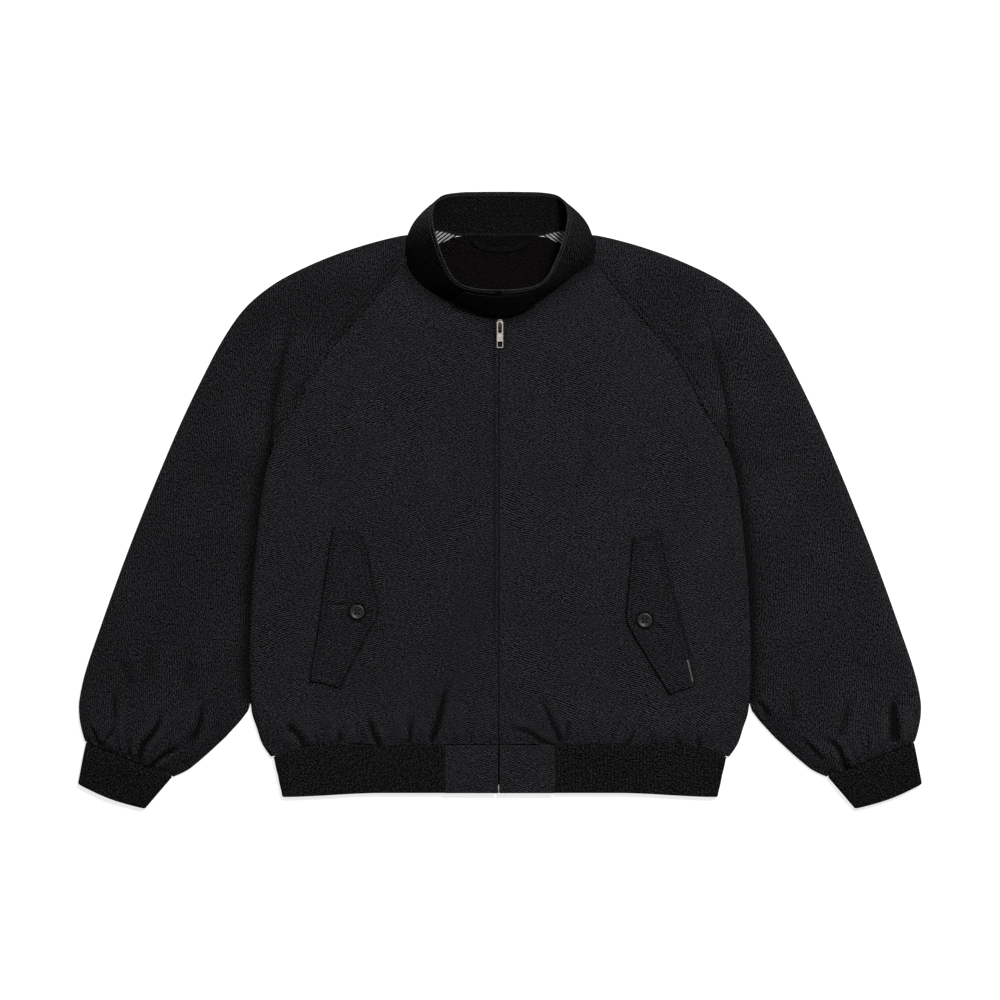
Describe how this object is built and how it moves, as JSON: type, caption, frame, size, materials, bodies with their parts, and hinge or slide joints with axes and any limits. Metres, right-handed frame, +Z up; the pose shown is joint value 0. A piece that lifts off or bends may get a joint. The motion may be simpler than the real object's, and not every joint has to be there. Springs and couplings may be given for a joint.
{
  "type": "harrington jacket",
  "caption": "Black harrington jacket laid flat, with a stand collar, raglan sleeves, front zip, buttoned pocket flaps and ribbed cuffs and hem.",
  "frame": {"origin": "middle of the jacket's outline, on the surface it lies on", "axes": "+X to the wearer's left, +Y from the hem to the collar, +Z up off the surface"},
  "size_m": [1.0116, 0.74, 0.051],
  "materials": {
    "black_twill": "matt cotton twill",
    "black_rib_knit": "matt rib knit",
    "black_facing": "matt",
    "striped_lining": "woven, white with black stripes",
    "horn_button": "satin, faintly marbled",
    "pale_nickel": "pale nickel plate",
    "black_zip_tape": "matt woven tape",
    "woven_label": "woven, plain"
  },
  "bodies": {
    "jacket": {"back_panel": "black_twill", "front_left": "black_twill", "front_right": "black_twill", "sleeve_front_left": "black_twill", "sleeve_front_right": "black_twill", "sleeve_back_left": "black_twill", "sleeve_back_right": "black_twill", "cuff_left": "black_rib_knit", "cuff_right": "black_rib_knit", "hem_rib": "black_rib_knit", "hem_block_left": "black_twill", "hem_block_right": "black_twill", "collar_outer": "black_twill", "collar_inner": "black_twill", "collar_tab": "black_twill", "back_facing": "black_facing", "lining_left": "striped_lining", "lining_right": "striped_lining", "hanger_loop": "black_facing", "pocket_flap_left": "black_twill", "pocket_flap_right": "black_twill", "pocket_button_left": "horn_button", "pocket_button_right": "horn_button", "label_tab": "woven_label", "zip_tape_left": "black_zip_tape", "zip_tape_right": "black_zip_tape", "zip_slider": "pale_nickel", "zip_pin": "pale_nickel"},
    "pull_tab": {"zip_pull": "pale_nickel"}
  },
  "joints": [
    {"name": "pull_tab_flip", "type": "hinge", "parent": "jacket", "child": "pull_tab", "pos_m": [0, 0.2122, 0.0137], "axis": [-1, 0, 0], "range_deg": [0, 125]}
  ]
}
